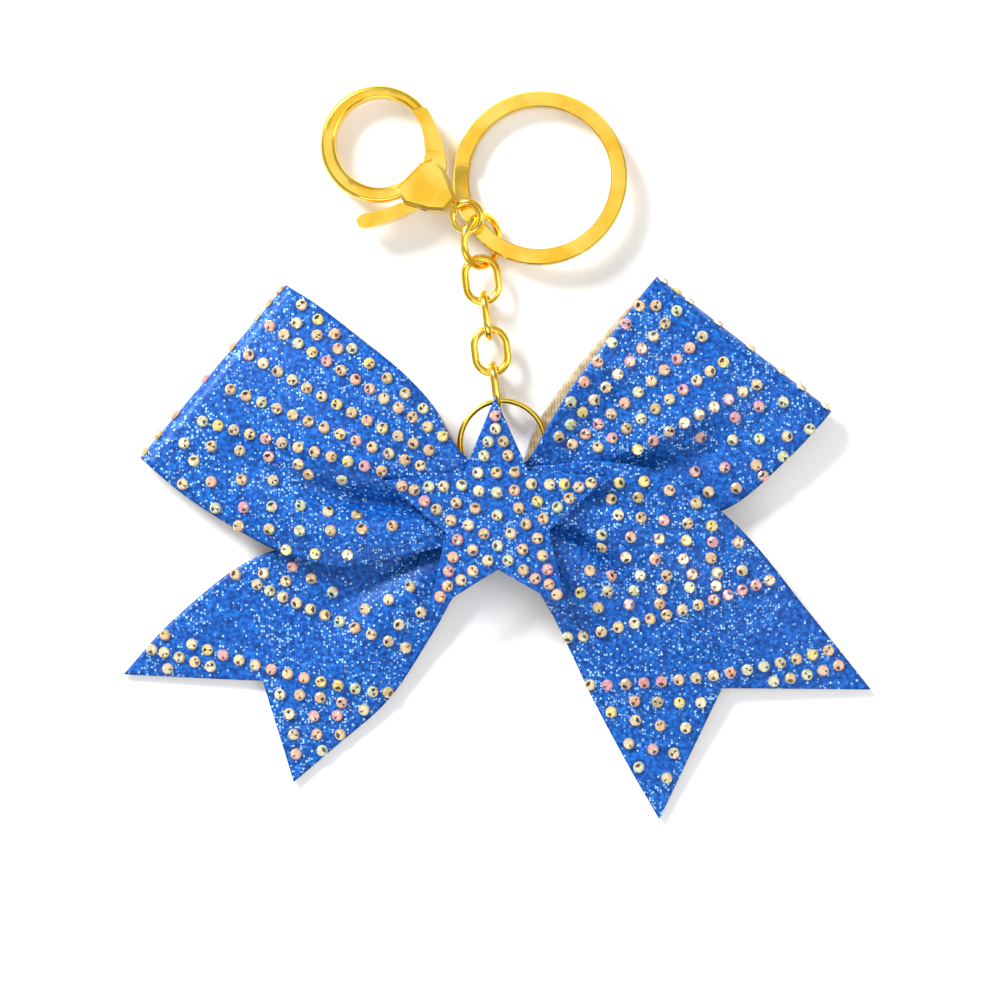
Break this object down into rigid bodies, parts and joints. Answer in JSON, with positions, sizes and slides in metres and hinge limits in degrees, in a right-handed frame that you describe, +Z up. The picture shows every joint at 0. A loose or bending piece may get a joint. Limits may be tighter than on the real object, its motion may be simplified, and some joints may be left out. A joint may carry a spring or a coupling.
{
  "type": "cheer hair bow keychain",
  "caption": "Folded glitter ribbon bow with two loops, two fishtail tails and a stone-set star centre, on a short oval-link chain with a split ring and a swivel snap clasp.",
  "frame": {"origin": "centre of the bounding box on the surface it lies on", "axes": "+Z up, out of the star's face; +Y from the bow towards the split ring; +X to the right of the bow seen from its face"},
  "size_m": [0.129, 0.1264, 0.0107],
  "materials": {
    "glitter_ribbon": "blue glitter",
    "ribbon_backing": "woven",
    "thread": "matt",
    "felt": "matt",
    "rhinestone": "cut, coated",
    "gold_plate": "polished",
    "spring_wire": "drawn"
  },
  "bodies": {
    "bow": {"centre_tie": "thread", "left_loop_backing": "ribbon_backing", "left_loop_face": "glitter_ribbon", "left_tail_backing": "ribbon_backing", "left_tail_face": "glitter_ribbon", "right_loop_backing": "ribbon_backing", "right_loop_face": "glitter_ribbon", "right_tail_backing": "ribbon_backing", "right_tail_face": "glitter_ribbon", "star_pad": "felt", "star_patch": "glitter_ribbon", "stones_left_loop": "rhinestone", "stones_left_tail": "rhinestone", "stones_right_loop": "rhinestone", "stones_right_tail": "rhinestone", "stones_star": "rhinestone"},
    "wire_ring": {"wire_ring": "gold_plate"},
    "chain_link_1": {"chain_link_1": "gold_plate"},
    "chain_link_2": {"chain_link_2": "gold_plate"},
    "chain_link_3": {"chain_link_3": "gold_plate"},
    "chain_link_4": {"chain_link_4": "gold_plate"},
    "connector_ring": {"connector_ring": "gold_plate"},
    "swivel_eye": {"swivel_eye": "gold_plate"},
    "clasp_body": {"clasp_body": "gold_plate", "gate_pin": "gold_plate", "gate_spring": "spring_wire"},
    "clasp_gate": {"clasp_gate": "gold_plate"},
    "split_ring": {"split_ring": "gold_plate"}
  },
  "joints": [
    {"name": "ring_swing", "type": "hinge", "parent": "bow", "child": "wire_ring", "pos_m": [0.00095, -0.00561, 0.00347], "axis": [1, 0, 0], "range_deg": [-6, 4]},
    {"name": "link_1_swing", "type": "hinge", "parent": "wire_ring", "child": "chain_link_1", "pos_m": [0.00002, 0.00893, 0.00347], "axis": [0.9919, 0.1271, 0], "range_deg": [-25, 20]},
    {"name": "link_2_swing", "type": "hinge", "parent": "chain_link_1", "child": "chain_link_2", "pos_m": [-0.00078, 0.0152, 0.00347], "axis": [0, 0, 1], "range_deg": [-15, 25]},
    {"name": "link_3_swing", "type": "hinge", "parent": "chain_link_2", "child": "chain_link_3", "pos_m": [-0.00156, 0.02131, 0.00347], "axis": [0.9919, 0.1271, 0], "range_deg": [-25, 25]},
    {"name": "link_4_swing", "type": "hinge", "parent": "chain_link_3", "child": "chain_link_4", "pos_m": [-0.00234, 0.0274, 0.00347], "axis": [0, 0, 1], "range_deg": [-25, 25]},
    {"name": "connector_swing", "type": "hinge", "parent": "chain_link_4", "child": "connector_ring", "pos_m": [-0.00313, 0.03351, 0.00347], "axis": [0.9919, 0.1271, 0], "range_deg": [-3, 12]},
    {"name": "eye_swing", "type": "hinge", "parent": "connector_ring", "child": "swivel_eye", "pos_m": [-0.00426, 0.03989, 0.00594], "axis": [-0.5851, -0.5975, 0.5483], "range_deg": [-4, 0.8]},
    {"name": "clasp_swivel", "type": "hinge", "parent": "swivel_eye", "child": "clasp_body", "pos_m": [-0.00516, 0.04059, 0.00573], "axis": [0.7551, -0.6449, 0.1179], "range_deg": [-30, 30]},
    {"name": "gate_pivot", "type": "hinge", "parent": "clasp_body", "child": "clasp_gate", "pos_m": [-0.01158, 0.04607, 0.00473], "axis": [-0.0896, 0.0766, 0.993], "range_deg": [0, 15], "stiffness_Nm_per_rad": 0.0008, "springref_deg": -17.19},
    {"name": "split_ring_swing", "type": "hinge", "parent": "connector_ring", "child": "split_ring", "pos_m": [0.00017, 0.03557, 0.00067], "axis": [0.1972, 0.9766, -0.086], "range_deg": [-2, 0.8]}
  ]
}
